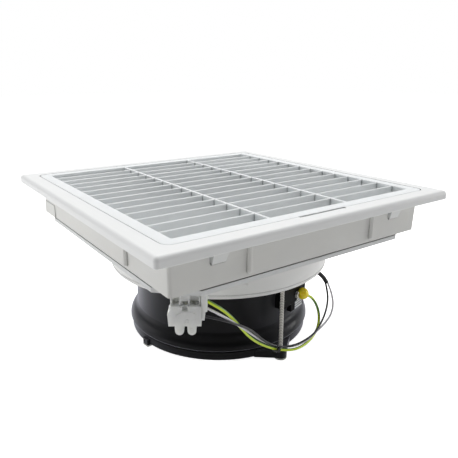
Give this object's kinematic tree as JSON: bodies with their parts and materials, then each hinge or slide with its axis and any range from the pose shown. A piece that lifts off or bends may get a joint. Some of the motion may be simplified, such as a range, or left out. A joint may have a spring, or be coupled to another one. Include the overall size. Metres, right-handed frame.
{
  "type": "bathroom extractor fan",
  "caption": "Square white louvred ceiling extractor fan with a skirt box, round inlet bowl and black axial fan tube with hanging screws, terminal block and loose wires.",
  "frame": {"origin": "bottom centre of the bounding box: the fan's axis at the plane of the resting feet", "axes": "+Z along the fan's axis towards the room face of the grille, X along the slats, Y across them"},
  "size_m": [0.34, 0.34, 0.163],
  "materials": {
    "white_plastic": "satin moulded ABS with a fine spark texture",
    "grille_plastic": "satin moulded ABS",
    "skirt_plastic": "matt moulded ABS",
    "clip_plastic": "satin moulded ABS",
    "bowl_plastic": "satin moulded ABS",
    "tray_plastic": "satin moulded ABS",
    "black_plastic": "satin black moulded nylon",
    "impeller_plastic": "satin black moulded polypropylene",
    "cover_plastic": "matt black",
    "clear_rubber": "pale translucent soft rubber",
    "nylon": "translucent natural nylon",
    "zinc": "bright zinc plate",
    "dark_steel": "black stoved paint",
    "cast_alloy": "as cast, lightly blasted",
    "lamination": "stacked electrical steel",
    "copper": "enamelled copper wire",
    "bearing_steel": "ground",
    "spring_steel": "oiled spring steel",
    "earth_insulation": "green with a yellow stripe",
    "white_insulation": "white PVC",
    "grey_insulation": "grey PVC",
    "black_insulation": "black PVC sleeve",
    "tie_nylon": "black nylon",
    "yellow_vinyl": "yellow vinyl",
    "label": "blank coated paper"
  },
  "bodies": {
    "housing": {"fascia_frame": "white_plastic", "release_tab": "white_plastic", "skirt_box": "skirt_plastic", "fascia_clips": "clip_plastic", "spacer_tray": "tray_plastic", "tray_screws": "zinc", "inlet_bowl": "bowl_plastic", "bowl_screws": "zinc", "fan_tube": "black_plastic", "tube_feet": "clear_rubber", "tube_screws": "zinc", "tube_screw_nuts": "zinc", "lead_cover": "cover_plastic", "rating_label": "label", "earth_screw": "zinc", "earth_crimp": "yellow_vinyl", "lead_sleeve": "black_insulation", "motor_lead": "black_insulation", "earth_wire": "earth_insulation", "neutral_wire": "white_insulation", "live_wire": "grey_insulation", "wire_tie": "tie_nylon", "terminal_block": "nylon", "terminal_clamps": "zinc", "terminal_screws": "zinc", "terminal_plug": "nylon", "terminal_hanger": "nylon", "hanger_screws": "zinc", "motor_support": "black_plastic", "motor_base": "cast_alloy", "motor_screws": "zinc", "bearing_tube": "cast_alloy", "stator_core": "lamination", "stator_windings": "copper", "lower_bearing": "bearing_steel", "upper_bearing": "bearing_steel", "bearing_spring": "spring_steel"},
    "rotor": {"fan_shaft": "bearing_steel", "shaft_circlip": "spring_steel", "rotor_cup": "dark_steel", "rotor_cage": "lamination", "impeller": "impeller_plastic", "impeller_screws": "zinc"},
    "grille": {"grille_panel": "grille_plastic"}
  },
  "joints": [
    {"name": "impeller_spin", "type": "hinge", "parent": "housing", "child": "rotor", "pos_m": [0, 0, 0.036], "axis": [0, 0, 1], "continuous": true},
    {"name": "grille_lift", "type": "slide", "parent": "housing", "child": "grille", "axis": [0, 0, 1], "range_m": [0, 0.08]}
  ]
}
